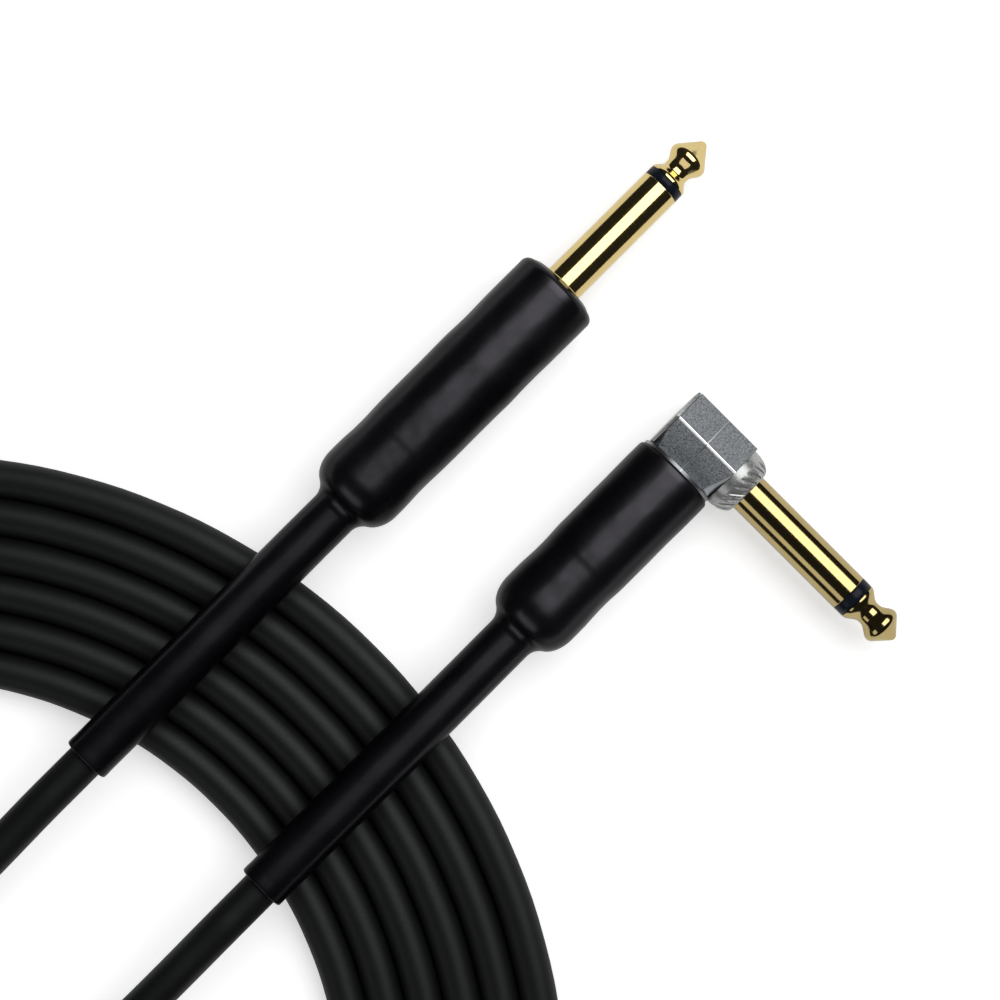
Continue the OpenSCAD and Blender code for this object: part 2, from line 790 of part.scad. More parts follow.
// Towards the back the turns gather: those in the list raised climb between their neighbours.
function stacked(a) = stack_angle * smooth((folded(a) - gather_from) / (gather_to - gather_from));
function step_across(s) = (pitch + stack_extra * pow(sin(3 * s), 2)) * cos(s);
function step_up(s) = (pitch + stack_extra * pow(sin(3 * s), 2)) * sin(s);
function across(turn, s) =
    let (beside = pitch + side_extra * sin(3 * s))
    turn < 0 ? -beside : turn <= 4 ? turn * step_across(s) : 4 * step_across(s) + beside;
function drift(a) = pitch * smooth((a - flat_half) / (360 - 2 * flat_half));
function start_in(turn, a) = turn < 0 ? start_room * smooth((start_from - a) / 30) : 0;
function lift(a) = strap_lift * smooth((1 - abs(a - strap_at) / strap_half) * 1.5);
function coil_point(a) =
    let (
        turn = floor(a / 360),
        at = a - 360 * turn,
        s = stacked(at),
        out = across(turn, s) + drift(at) - start_in(turn, at),
        base = inner_turn(at),
        up = len(search(turn, raised)) > 0 ? step_up(s) : 0
    )
    [base[0] + out * cos(at), base[1] + out * sin(at), cord_r + lift(at) + up];

function unit(v) = v / norm(v);
function coil_way(a) = unit(coil_point(a + 1) - coil_point(a - 1));
coil_first = coil_point(coil_start) - straight_end * coil_way(coil_start + 1);
coil_last = coil_point(coil_end) + straight_end * coil_way(coil_end - 1);
coil_line = concat(
    [coil_first],
    [for (a = [coil_start:ring_step:coil_end]) coil_point(a)],
    [coil_last]
);

// Rings of points round a line, with level sides, and the tube through them.
function line_way(line, i) = unit(line[min(i + 1, len(line) - 1)] - line[max(i - 1, 0)]);
function ring(p, way, r, sides) =
    let (side = unit(cross(way, [0, 0, 1])), up = cross(side, way))
    [for (k = [0:sides - 1]) p + r * (cos(90 + 360 * k / sides) * side + sin(90 + 360 * k / sides) * up)];

module swept(line, r, sides, first_way, last_way) {
    last = len(line) - 1;
    rings = [
        for (i = [0:last])
            ring(line[i], i == 0 ? first_way : i == last ? last_way : line_way(line, i), r, sides)
    ];
    points = [for (one = rings) each one];
    walls = [
        for (i = [0:last - 1], k = [0:sides - 1])
            let (a = i * sides + k, b = i * sides + (k + 1) % sides)
            each [[a, a + sides, b], [b, a + sides, b + sides]]
    ];
    near_end = [for (k = [1:sides - 2]) [0, k, k + 1]];
    far_end = [for (k = [1:sides - 2]) [last * sides, last * sides + k + 1, last * sides + k]];
    polyhedron(points, concat(walls, near_end, far_end));
}

straight_rear = placed(straight_at, straight_tilt, [-straight_len, 0, 0]);
straight_rear_way = [-cos(straight_tilt), 0, sin(straight_tilt)];
angle_rear = placed(angle_at, angle_tilt, [-angle_len, 0, 0]);
angle_rear_way = [-cos(angle_tilt), 0, sin(angle_tilt)];
straight_line = concat(
    [straight_rear, straight_rear + lead_out * straight_rear_way], straight_route,
    [coil_first - fit * coil_way(coil_start + 1)]
);
angle_line = concat(
    [coil_last + fit * coil_way(coil_end - 1)], angle_route,
    [angle_rear + lead_out * angle_rear_way, angle_rear]
);

module straight_lead() {
    color([0.12, 0.12, 0.12])
        swept(straight_line, cord_r, lead_sides, straight_rear_way, coil_way(coil_start + 1));
}

module cord_coil() {
    color([0.12, 0.12, 0.12])
        swept(coil_line, cord_r, coil_sides, coil_way(coil_start + 1), coil_way(coil_end - 1));
}

module angle_lead() {
    color([0.12, 0.12, 0.12])
        swept(angle_line, cord_r, lead_sides, coil_way(coil_end - 1), -angle_rear_way);
}

// The strap goes round the gathered turns, square to them, midway between two of the coil's rings.
strap_base = inner_turn(strap_at);
function strap_point(turn) =
    let (
        a = turn * 360 + strap_at,
        p = (coil_point(a - ring_step / 2) + coil_point(a + ring_step / 2)) / 2
    )
    [(p[0] - strap_base[0]) * cos(strap_at) + (p[1] - strap_base[1]) * sin(strap_at), p[2]];

module bundle_outline(grow) {
    hull() for (turn = [-1:4]) translate(strap_point(turn)) circle(r = cord_r + grow, $fn = 32);
}

module tie_strap() {
    tail = [8, 2];
    middle = strap_point(raised[0])[0] / 2 + strap_point(raised[1])[0] / 2;
    top = strap_point(raised[0])[1] + cord_r + strap_room + strap_t;
    color("black")
        translate(strap_base) rotate([0, 0, strap_at]) rotate([90, 0, 0]) translate([0, 0, -strap_w / 2]) {
            linear_extrude(strap_w) difference() {
                bundle_outline(strap_room + strap_t);
                bundle_outline(strap_room);
            }
            translate([middle - tail[0], top - fit, 0]) cube([tail[0] + tail[1], strap_t, strap_w]);
        }
}

// ---- Checks that are printed ----

// Least gap from each point of the coil's rings to the faces of the tube beside it.
function tube_gap(p, a, b) =
    let (
        way = unit(b - a),
        side = unit(cross(way, [0, 0, 1])),
        up = cross(side, way),
        along = (p - a) * way,
        q = p - a,
        turned_to = atan2(q * up, q * side),
        off = norm([q * side, q * up])
    )
    along < -1 || along > norm(b - a) + 1 ? cord_d
    : off * max([for (k = [0:coil_sides - 1]) cos(turned_to - 90 - 360 * (k + 0.5) / coil_sides)])
        - cord_r * cos(180 / coil_sides);
coil_last_i = len(coil_line) - 1;
next_turn = 360 / ring_step - 4;
coil_gaps = [
    for (i = [0:coil_last_i], j = [0:coil_last_i - 1])
        if (abs(i - j) > next_turn && norm(coil_line[i] - coil_line[j]) < 8 * cord_d)
            for (p = ring(coil_line[i], line_way(coil_line, i), cord_r, coil_sides))
                tube_gap(p, coil_line[j], coil_line[j + 1])
];
function length(line) =
    let (parts = [for (i = [1:len(line) - 1]) norm(line[i] - line[i - 1])])
    parts * [for (part = parts) 1];
echo(coil_gap = min(coil_gaps), coil_gap_wanted = least_gap);
echo(coil_length = length(coil_line));
echo(straight_lead_length = length(straight_line), angle_lead_length = length(angle_line));
echo(straight_tilt = straight_tilt, angle_tilt = angle_tilt, straight_at = straight_at, angle_at = angle_at);
echo(straight_rear = straight_rear, angle_rear = angle_rear);
echo(coil_first = coil_first, coil_last = coil_last);

straight_tip();
straight_tip_insulator();
straight_sleeve();
straight_ground_clamp();
straight_rear_washer();
straight_tip_lug();
straight_barrel();
straight_liner();
straight_boot();
straight_jacket();
straight_shield();
straight_core();
straight_conductor();
straight_tip_solder();
straight_ground_solder();
angle_tip();
angle_tip_insulator();
angle_sleeve();
angle_collar();
angle_head();
angle_back_cap();
angle_ground_lug();
angle_rear_washer();
angle_tip_lug();
angle_barrel();
angle_liner();
angle_boot();
angle_jacket();
angle_shield();
angle_core();
angle_conductor();
angle_tip_solder();
angle_ground_solder();
straight_lead();
cord_coil();
angle_lead();
tie_strap();
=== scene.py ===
"""Dresses the instrument cable: plugs, boots, coiled cord and strap, on a pale floor."""

import math
from typing import NamedTuple

import bmesh
import bpy
from bpy.props import FloatProperty, FloatVectorProperty, IntProperty, PointerProperty
from bpy.types import Operator, Panel, PropertyGroup
from mathutils import Matrix, Vector, noise
from mathutils.geometry import convex_hull_2d


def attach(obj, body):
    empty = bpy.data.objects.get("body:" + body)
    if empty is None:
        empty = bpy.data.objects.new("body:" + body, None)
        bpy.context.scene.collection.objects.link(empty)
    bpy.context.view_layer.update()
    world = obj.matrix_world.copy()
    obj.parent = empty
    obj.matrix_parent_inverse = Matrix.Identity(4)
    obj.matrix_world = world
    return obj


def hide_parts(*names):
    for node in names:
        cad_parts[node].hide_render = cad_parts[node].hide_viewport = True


bl_info = {
    "name": "Instrument Cable",
    "version": (1, 0, 0),
    "blender": (4, 5, 0),
    "location": "View3D > Sidebar > Cable",
    "description": "Builds a coiled instrument cable with two jack plugs",
    "category": "Object",
}

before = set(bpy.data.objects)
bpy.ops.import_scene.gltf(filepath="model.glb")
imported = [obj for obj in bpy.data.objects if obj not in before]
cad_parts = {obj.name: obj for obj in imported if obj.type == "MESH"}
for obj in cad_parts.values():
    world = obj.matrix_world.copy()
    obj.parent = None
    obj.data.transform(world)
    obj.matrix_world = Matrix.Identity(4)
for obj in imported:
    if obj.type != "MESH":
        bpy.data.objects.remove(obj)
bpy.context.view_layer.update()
MM = 0.001

# Where the straight plug and the angle plug stand: the front of the boot, and how far it dips.
STRAIGHT_AT = Vector((35.2002, 33.15, 6.96665))
STRAIGHT_DIP = 2.63615
ANGLE_AT = Vector((27.2002, 1.15, 6.76007))
ANGLE_DIP = 3.29168

# Lengths along the plugs, from the front of the boot or from the root of the finger.
STRAIGHT_SLEEVE = 21.0
STRAIGHT_RING = 1.4
ANGLE_SLEEVE = 21.5
ANGLE_RING = 1.7
STRAIGHT_GRIP = 47.0
STRAIGHT_TUBE = 54.0
STRAIGHT_REAR = -STRAIGHT_GRIP - STRAIGHT_TUBE
ANGLE_GRIP = 33.6
ANGLE_TUBE = 54.4
ANGLE_REAR = -ANGLE_GRIP - ANGLE_TUBE

# Where the angle plug's finger is rooted: ahead of the boot's front, and out from the boot's axis.
FINGER_SIDE = 5.75
FINGER_ROOT = 9.95

# The head's rear face, its parting line, and the cone that its ends are turned down to.
HEAD_REAR = 0.5
HEAD_PARTING = -0.25
HEAD_END_RADIUS = 6
HEAD_END_SLOPE = 29.5

# Radii that both plugs share.
ROD_RADIUS = 1.2
ROD_BORE = 1.26
INSULATOR_RADIUS = 2.05
SLEEVE_BORE = 2.1
CORD_BORE = 2.95
TUBE_RADIUS = 3.8


# ---- Settings ----


class CordSettings(PropertyGroup):
    diameter: FloatProperty(
        name="Diameter",
        description="Diameter of the cord's jacket",
        default=5.8 * MM,
        unit="LENGTH",
        precision=4,
    )
    pitch: FloatProperty(
        name="Pitch",
        description="Distance between neighbouring turns",
        default=5.74 * MM,
        unit="LENGTH",
        precision=4,
    )
    length: FloatProperty(
        name="Length",
        description="Length of the cord between the two boots",
        default=2.485,
        unit="LENGTH",
    )
    jacket_colour: FloatVectorProperty(
        name="Jacket",
        description="Colour of the rubber jacket",
        default=(0.0026, 0.0028, 0.0029),
        subtype="COLOR",
    )
    strap_colour: FloatVectorProperty(
        name="Strap",
        description="Colour of the strap round the coil",
        default=(0.011, 0.011, 0.013),
        subtype="COLOR",
    )


class FingerSettings(PropertyGroup):
    diameter: FloatProperty(
        name="Diameter",
        description="Diameter of both fingers",
        default=6.35 * MM,
        unit="LENGTH",
        precision=5,
    )
    steps: IntProperty(
        name="Steps",
        description="Flats round each turned piece",
        default=128,
        min=24,
        max=256,
    )
    gold_colour: FloatVectorProperty(
        name="Gold",
        description="Colour of the gold plate",
        default=(0.66, 0.515, 0.225),
        subtype="COLOR",
    )
    ring_colour: FloatVectorProperty(
        name="Ring",
        description="Colour of the insulating ring",
        default=(0.006, 0.008, 0.014),
        subtype="COLOR",
    )


class HeadSettings(PropertyGroup):
    edge_round: FloatProperty(
        name="Edge rounding",
        description="Radius on the casting's edges",
        default=0.28 * MM,
        unit="LENGTH",
        precision=5,
    )
    cast_colour: FloatVectorProperty(
        name="Casting",
        description="Colour of the plated casting",
        default=(0.34, 0.36, 0.38),
        subtype="COLOR",
    )
    collar_colour: FloatVectorProperty(
        name="Collar",
        description="Colour of the polished collar",
        default=(0.46, 0.47, 0.46),
        subtype="COLOR",
    )


class BootSettings(PropertyGroup):
    unevenness: FloatProperty(
        name="Unevenness",
        description="How far the shrunk wall wavers",
        default=0.035 * MM,
        unit="LENGTH",
        precision=6,
    )
    colour: FloatVectorProperty(
        name="Colour",
        description="Colour of the shrink tubing",
        default=(0.0013, 0.0011, 0.0019),
        subtype="COLOR",
    )


class StageSettings(PropertyGroup):
    floor_size: FloatProperty(name="Floor", description="Side of the floor", default=4.0, unit="LENGTH")
    camera_height: FloatProperty(
        name="Camera height",
        description="Height of the camera over the plugs",
        default=0.45,
        unit="LENGTH",
    )
    view_width: FloatProperty(
        name="View width",
        description="Width of the view at the plugs",
        default=0.15106,
        unit="LENGTH",
        precision=5,
    )


class CableSettings(PropertyGroup):
    cord: PointerProperty(type=CordSettings)
    finger: PointerProperty(type=FingerSettings)
    head: PointerProperty(type=HeadSettings)
    boot: PointerProperty(type=BootSettings)
    stage: PointerProperty(type=StageSettings)


# ---- Places ----


def plug_place(at, dip):
    """From a plug's own millimetres, with x to the front, to the cable's metres."""
    turn = Matrix.Rotation(math.radians(dip), 4, "Y")
    return Matrix.Translation(at * MM) @ turn @ Matrix.Scale(MM, 4)


STRAIGHT = plug_place(STRAIGHT_AT, STRAIGHT_DIP)
ANGLE = plug_place(ANGLE_AT, ANGLE_DIP)
# The angle plug's finger points to -y, with x = 0 at its root.
ANGLE_FINGER = (
    ANGLE @ Matrix.Translation((FINGER_SIDE, -FINGER_ROOT, 0)) @ Matrix.Rotation(-math.pi / 2, 4, "Z")
)


# ---- Pieces ----


def piece_from(bm, name, place, material, node_names, crease=32):
    """Turns a bmesh into a finished piece that rides with the cable and stands for CAD nodes."""
    bmesh.ops.remove_doubles(bm, verts=bm.verts, dist=1e-5)
    bmesh.ops.recalc_face_normals(bm, faces=bm.faces)
    mesh = bpy.data.meshes.new(name)
    bm.to_mesh(mesh)
    bm.free()
    mesh.transform(place)
    mesh.shade_smooth()
    mesh.set_sharp_from_angle(angle=math.radians(crease))
    mesh.materials.append(material)
    piece = bpy.data.objects.new(name, mesh)
    bpy.context.scene.collection.objects.link(piece)
    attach(piece, "root")
    if node_names:
        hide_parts(*node_names)
    return piece


def turned(profile, steps, closed=True):
    """Spins a profile of (along, radius) points round the x axis."""
    bm = bmesh.new()
    verts = [bm.verts.new((along, 0, radius)) for along, radius in profile]
    edges = [bm.edges.new(pair) for pair in zip(verts, verts[1:])]
    if closed:
        edges.append(bm.edges.new((verts[-1], verts[0])))
    bmesh.ops.spin(
        bm, geom=verts + edges, cent=(0, 0, 0), axis=(1, 0, 0), angle=2 * math.pi, steps=steps, use_merge=True
    )
    return bm


def half_wave(x, length, r0, r1, parts=12):
    """A profile that swells or narrows smoothly from one radius to another."""
    points = []
    for k in range(parts + 1):
        t = k / parts
        points.append((x + length * t, r0 + (r1 - r0) * (1 - math.cos(math.pi * t)) / 2))
    return points


def bend(x, r, radius, start, end, parts=8):
    """A round corner of a profile, from one direction to another in degrees."""
    points = []
    for k in range(parts + 1):
        a = math.radians(start + (end - start) * k / parts)
        points.append((x + radius * math.cos(a), r + radius * math.sin(a)))
    return points


def eased(marks, x):
    """The value at x between (x, value) marks, with no corners."""
    for (x0, r0), (x1, r1) in zip(marks, marks[1:]):
        if x <= x1:
            t = max(0.0, (x - x0) / (x1 - x0))
            return r0 + (r1 - r0) * t * t * (3 - 2 * t)
    return marks[-1][1]


# ---- Materials ----


class Finish:
    """A material's nodes round one Principled shader."""

    def __init__(self, name, colour, roughness, metallic=0.0, **sockets):
        self.material = bpy.data.materials.new(name)
        self.material.use_nodes = True
        self.tree = self.material.node_tree
        self.shader = self.tree.nodes["Principled BSDF"]
        self.shader.inputs["Base Color"].default_value = (*colour, 1)
        self.shader.inputs["Roughness"].default_value = roughness
        self.shader.inputs["Metallic"].default_value = metallic
        for socket, value in sockets.items():
            self.shader.inputs[socket.replace("_", " ")].default_value = value
        self.place = self.add("ShaderNodeTexCoord").outputs["Object"]

    def add(self, kind, inputs=(), **settings):
        """A node with its settings, and its inputs set or linked by name or number."""
        made = self.tree.nodes.new(kind)
        for key, value in settings.items():
            setattr(made, key, value)
        for key, value in dict(inputs).items():
            if isinstance(value, bpy.types.NodeSocket):
                self.tree.links.new(value, made.inputs[key])
            else:
                made.inputs[key].default_value = value
        return made

    def stretched(self, scale, turn=(0, 0, 0)):
        """The object's place, turned and stretched for a grain that runs one way."""
        aligned = self.add("ShaderNodeMapping", {"Vector": self.place, "Rotation": turn}, vector_type="POINT")
        made = self.add("ShaderNodeMapping", {"Vector": aligned.outputs[0], "Scale": scale})
        return made.outputs[0]

    def grain(self, scale, detail=3.0, rough=0.55, place=None):
        """A noise of so many features to the metre."""
        made = self.add(
            "ShaderNodeTexNoise",
            {"Vector": place or self.place, "Scale": scale, "Detail": detail, "Roughness": rough},
        )
        return made.outputs[0]

    def cells(self, scale, place=None):
        """Rounded cells, so many to the metre."""
        made = self.add("ShaderNodeTexVoronoi", {"Vector": place or self.place, "Scale": scale})
        return made.outputs["Distance"]

    def between(self, value, low, high, start=0.3, end=0.7):
        """Maps a pattern to a range."""
        made = self.add(
            "ShaderNodeMapRange",
            {"Value": value, "From Min": start, "From Max": end, "To Min": low, "To Max": high},
        )
        return made.outputs[0]

    def figure(self, operation, *values):
        """One step of arithmetic on patterns and numbers."""
        made = self.add("ShaderNodeMath", dict(enumerate(values)), operation=operation)
        return made.outputs[0]

    def sum_up(self, one, other):
        """Adds two patterns."""
        return self.figure("ADD", one, other)

    def near(self, value, middle, half, edge):
        """1 within half of the middle, and 0 from the edge outwards."""
        away = self.figure("ABSOLUTE", self.figure("SUBTRACT", value, middle))
        return self.between(away, 1, 0, half, edge)

    def tint(self, value, dark, light, start=0.3, end=0.7):
        """Mixes two colours by a pattern, into the base colour."""
        factor = self.between(value, 0, 1, start, end)
        made = self.add("ShaderNodeMix", {"Factor": factor}, data_type="RGBA")
        made.inputs[6].default_value = (*dark, 1)
        made.inputs[7].default_value = (*light, 1)
        self.tree.links.new(made.outputs[2], self.shader.inputs["Base Color"])
        return made.outputs[2]

    def gloss(self, value, low, high, start=0.3, end=0.7):
        """Drives the roughness by a pattern."""
        self.tree.links.new(self.between(value, low, high, start, end), self.shader.inputs["Roughness"])

    def flat_edges(self, middle, edge):
        """Less gloss where the wall turns away from the eye."""
        away = self.add("ShaderNodeLayerWeight").outputs["Facing"]
        level = self.between(away, middle, edge, 0.1, 0.45)
        self.tree.links.new(level, self.shader.inputs["Specular IOR Level"])

    def relief(self, *layers):
        """Stacks bumps, each a pattern with its strength and its height in metres."""
        normal = None
        for pattern, strength, height in layers:
            inputs = {"Height": pattern, "Strength": strength, "Distance": height}
            if normal is not None:
                inputs["Normal"] = normal
            normal = self.add("ShaderNodeBump", inputs).outputs[0]
        self.tree.links.new(normal, self.shader.inputs["Normal"])


def shade(colour, factor):
    """A colour made darker or lighter."""
    return tuple(min(1.0, c * factor) for c in colour)


def gold_plate(name, colour, turn):
    """Polished gold with faint turning marks round the finger."""
    finish = Finish(name, colour, 0.1, 1.0)
    marks = finish.grain(1.0, 4, 0.6, finish.stretched((9000, 220, 220), turn))
    cloud = finish.grain(260, 3)
    finish.tint(cloud, shade(colour, 0.93), shade(colour, 1.04))
    finish.gloss(marks, 0.07, 0.15)
    finish.relief((marks, 0.035, 2e-5), (cloud, 0.02, 5e-5))
    return finish.material


def moulded_ring(name, colour):
    """Hard glossy plastic with a few fine scratches."""
    finish = Finish(name, colour, 0.2, 0.0, Specular_IOR_Level=0.12)
    fine = finish.grain(4200, 3)
    finish.tint(fine, shade(colour, 0.7), shade(colour, 1.5))
    finish.gloss(fine, 0.16, 0.28)
    finish.relief((fine, 0.05, 1e-5))
    return finish.material


def cast_nickel(name, colour):
    """Satin nickel over a sand-textured casting, with smooth turned ends; the ridge and the parting line are
    smoother and painted near white as highlights, and the near facet's speckle is painted harsher as light
    and shade.
    """
    finish = Finish(name, colour, 0.4, 1.0)
    local = finish.add("ShaderNodeMapping", {"Vector": finish.place}, vector_type="TEXTURE")
    local.inputs["Location"].default_value = ANGLE_AT * MM
    local.inputs["Rotation"].default_value = (0, math.radians(ANGLE_DIP), 0)
    local.inputs["Scale"].default_value = (MM, MM, MM)
    spot = finish.add("ShaderNodeSeparateXYZ", {0: local.outputs[0]})
    x, y, z = spot.outputs
    slope = math.tan(math.radians(HEAD_END_SLOPE))
    # The ridge and the parting line: smoother below, and painted near white there as a painted highlight.
    ridge = finish.near(x, FINGER_SIDE, 0.15, 0.24)
    parting = finish.near(y, HEAD_PARTING, 0.07, 0.13)
    # The near facet's mask, for the painted light and shade in its speckle below.
    near_side = finish.between(x, 1, 0, FINGER_SIDE - 0.1, FINGER_SIDE + 0.1)
    reach = finish.sum_up(finish.figure("MULTIPLY", y, y), finish.figure("MULTIPLY", z, z))
    cone = finish.figure("MULTIPLY_ADD", x, slope, HEAD_END_RADIUS - HEAD_REAR * slope)
    inside = finish.figure("SUBTRACT", cone, finish.figure("SQRT", reach, 0.5))
    ends = finish.between(inside, 1, 0, 0.03, 0.1)
    smooth_part = finish.figure("MAXIMUM", finish.figure("MAXIMUM", ridge, ends), parting)
    rough_part = finish.figure("SUBTRACT", 1.0, smooth_part)
    sand = finish.grain(4300, 5, 0.75)
    pits = finish.cells(3300)
    cloud = finish.grain(420, 3)
    # Painted light and shade: the near facet's speckle is painted in harsher contrast than the far facet's,
    # for how the light falls on each facet.
    fine = finish.between(sand, 0.1, 0.95, 0.4, 0.62)
    near_facet_speckle = finish.between(sand, 0.0, 1.3, 0.38, 0.64)
    both = finish.add("ShaderNodeMix", {"Factor": near_side, 2: fine, 3: near_facet_speckle}, data_type="FLOAT")
    speckle = finish.tint(both.outputs[0], shade(colour, 0.35), shade(colour, 1.4), 0.0, 1.0)
    # Painted highlight on the ridge and the parting line, together with the real lighter smooth metal of the
    # turned ends: all three take a lighter tone.
    smooth_and_highlit = finish.add("ShaderNodeMix", {"Factor": smooth_part}, data_type="RGBA")
    finish.tree.links.new(speckle, smooth_and_highlit.inputs[6])
    smooth_and_highlit.inputs[7].default_value = (*shade(colour, 1.1), 1)
    # Painted highlight: near white on the ridge, and a little under half of it on the parting line.
    highlight_lines = finish.figure("MAXIMUM", ridge, finish.figure("MULTIPLY", parting, 0.45))
    bright = finish.add("ShaderNodeMix", {"Factor": highlight_lines}, data_type="RGBA")
    finish.tree.links.new(smooth_and_highlit.outputs[2], bright.inputs[6])
    bright.inputs[7].default_value = (0.95, 0.95, 0.95, 1)
    finish.tree.links.new(bright.outputs[2], finish.shader.inputs["Base Color"])
    rough = finish.between(cloud, 0.4, 0.5)
    smoother = finish.figure("MULTIPLY_ADD", smooth_part, -0.1, rough)
    finish.tree.links.new(smoother, finish.shader.inputs["Roughness"])
    finish.relief(
        (finish.figure("MULTIPLY", sand, rough_part), 0.8, 1.6e-4),
        (finish.figure("MULTIPLY", pits, rough_part), 0.3, 8e-5),
    )
    return finish.material


def polished_nickel(name, colour):
    """Satin nickel with fine wear."""
    finish = Finish(name, colour, 0.3, 0.75)
    fine = finish.grain(2600, 4)
    finish.tint(fine, shade(colour, 0.8), shade(colour, 1.1))
    finish.gloss(fine, 0.24, 0.38)
    finish.relief((fine, 0.3, 5e-5))
    return finish.material


def shrink_tubing(name, colour):
    """Black shrink tubing: a fine leathery skin with a soft sheen."""
    finish = Finish(name, colour, 0.3, 0.0, Specular_Tint=(0.94, 0.9, 1.0, 1))
    skin = finish.grain(5200, 4, 0.6)
    cloud = finish.grain(160, 3)
    finish.tint(cloud, shade(colour, 0.8), shade(colour, 1.3))
    finish.gloss(cloud, 0.27, 0.33)
    finish.flat_edges(0.66, 0.14)
    finish.relief((skin, 0.16, 3e-5), (cloud, 0.06, 2e-4))
    return finish.material


def cord_rubber(name, colour):
    """Matt rubber jacket with a powdery grain."""
    finish = Finish(name, colour, 0.52, 0.0, Specular_IOR_Level=0.35, Specular_Tint=(0.95, 0.98, 1.0, 1))
    grain = finish.grain(4600, 4, 0.62)
    cloud = finish.grain(120, 3)
    finish.tint(cloud, shade(colour, 0.82), shade(colour, 1.22))
    finish.gloss(grain, 0.46, 0.6)
    finish.relief((grain, 0.2, 3e-5))
    return finish.material


def strap_fabric(name, colour):
    """Hook-and-loop band: a soft pile of small loops."""
    finish = Finish(name, colour, 0.85, 0.0, Sheen_Weight=0.5, Sheen_Roughness=0.4)
    loops = finish.cells(2300)
    fuzz = finish.grain(5200, 4, 0.7)
    finish.tint(fuzz, shade(colour, 0.55), shade(colour, 1.7))
    finish.relief((loops, 0.8, 2.4e-4), (fuzz, 0.4, 1e-4))
    return finish.material


# ---- Cord ----


def smooth(t):
    """Goes from 0 to 1 with no corners."""
    t = min(max(t, 0.0), 1.0)
    return t * t * (3 - 2 * t)


def facing(degrees):
    """The direction at so many degrees from the x axis."""
    a = math.radians(degrees)
    return Vector((math.cos(a), math.sin(a)))


def folded(degrees):
    """The direction mirrored onto the coil's upper half, from 0 to 180 degrees."""
    return degrees % 360 if degrees % 360 <= 180 else 360 - degrees % 360


class CoilShape:
    """The turns of the coil, in millimetres, by the direction that the cord's outer side faces."""

    centre = Vector((-123.7, 14.6))
    front_radius = 68.5
    corner_radius = 32.0
    flat_half = 38.0
    corner_end = 106.0
    gather_from = 40.0
    gather_to = 118.0
    stack_angle = 60.0
    stack_extra = 0.42
    side_extra = 0.55
    strap_at = 232.5
    strap_half = 26.0
    strap_lift = 1.9
    start_from = 225.0
    start_room = 1.8
    raised = (1, 3)
    start = -165.0
    end = 1935.0

    def __init__(self, diameter, pitch):
        self.radius = diameter / MM / 2
        self.pitch = pitch / MM
        flat = facing(self.flat_half)
        reach = self.front_radius - self.corner_radius
        self.corner = Vector((self.centre.x + reach * flat.x, reach * flat.y))
        last = facing(self.corner_end)
        self.back_radius = self.corner_radius + self.corner.y / last.y
        self.back_x = self.corner.x - (self.back_radius - self.corner_radius) * last.x

    def inner_turn(self, at):
        """The innermost turn from above: a wide arc at each end, with tighter corners between."""
        side = -1 if math.sin(math.radians(at)) < 0 else 1
        out = facing(folded(at))
        if folded(at) <= self.flat_half:
            point = Vector((self.centre.x, 0)) + out * self.front_radius
        elif folded(at) <= self.corner_end:
            point = self.corner + out * self.corner_radius
        else:
            point = Vector((self.back_x, 0)) + out * self.back_radius
        return Vector((point.x, self.centre.y + side * point.y))

    def stacked(self, at):
        """How steeply the strands are piled up there, in radians."""
        share = (folded(at) - self.gather_from) / (self.gather_to - self.gather_from)
        return math.radians(self.stack_angle) * smooth(share)

    def point(self, along):
        """The cord's middle after so many degrees of winding."""
        turn = math.floor(along / 360)
        at = along - 360 * turn
        stack = self.stacked(at)
        step = self.pitch + self.stack_extra * math.sin(3 * stack) ** 2
        beside = self.pitch + self.side_extra * math.sin(3 * stack)
        if turn < 0:
            out = -beside - self.start_room * smooth((self.start_from - at) / 30)
        elif turn <= 4:
            out = turn * step * math.cos(stack)
        else:
            out = 4 * step * math.cos(stack) + beside
        out += self.pitch * smooth((at - self.flat_half) / (360 - 2 * self.flat_half))
        up = self.radius + self.strap_lift * smooth((1 - abs(at - self.strap_at) / self.strap_half) * 1.5)
        if turn in self.raised:
            up += step * math.sin(stack)
        flat = self.inner_turn(at) + facing(at) * out
        return Vector((flat.x, flat.y, up))

    def straight_ends(self):
        """The points one diameter beyond both ends of the coil."""
        before = (self.point(self.start) - self.point(self.start + 2)).normalized()
        after = (self.point(self.end) - self.point(self.end - 2)).normalized()
        return self.point(self.start) + before * 6, self.point(self.end) + after * 6


# Degrees of winding from one point of the coil to the next.
WINDING_STEP = 7.5

# The leads from the boots to the coil, in millimetres.
STRAIGHT_LEAD = (
    (-86, 33, 10.6), (-97, 33, 7.2), (-108, 33, 4.2), (-118, 33, 2.9),
    (-126, 31.8, 2.9), (-134, 26.9, 2.9), (-138.8, 19.2, 2.9), (-140.2, 13.2, 2.9),
)
ANGLE_LEAD = (
    (-151.5, 57.4, 3.9), (-155.8, 48.5, 7), (-158.9, 38.5, 10.4), (-159.6, 28, 13.2),
    (-157.2, 18.5, 14.4), (-151.5, 10, 14.4), (-143.5, 4, 14.2), (-134, 1.3, 12.9),
    (-123, 1, 11), (-112, 1, 9.2), (-101, 1, 8.4), (-91, 1, 8.6), (-80, 1, 9.8),
)


def cord_route(shape):
    """Every point that the cord goes through, from the straight plug's boot to the angle plug's."""
    first, last = shape.straight_ends()
    out_of = [STRAIGHT @ Vector((STRAIGHT_REAR + x, 0, 0)) for x in (2, -4.5, -9)]
    into = [ANGLE @ Vector((ANGLE_REAR + x, 0, 0)) for x in (-9, -4.5, 2)]
    steps = int((shape.end - shape.start) / WINDING_STEP)
    winding = [shape.point(shape.start + WINDING_STEP * k) for k in range(steps + 1)]
    lead_in = [Vector(p) for p in STRAIGHT_LEAD] + [first]
    lead_out = [last] + [Vector(p) for p in ANGLE_LEAD]
    return out_of + [p * MM for p in lead_in + winding + lead_out] + into


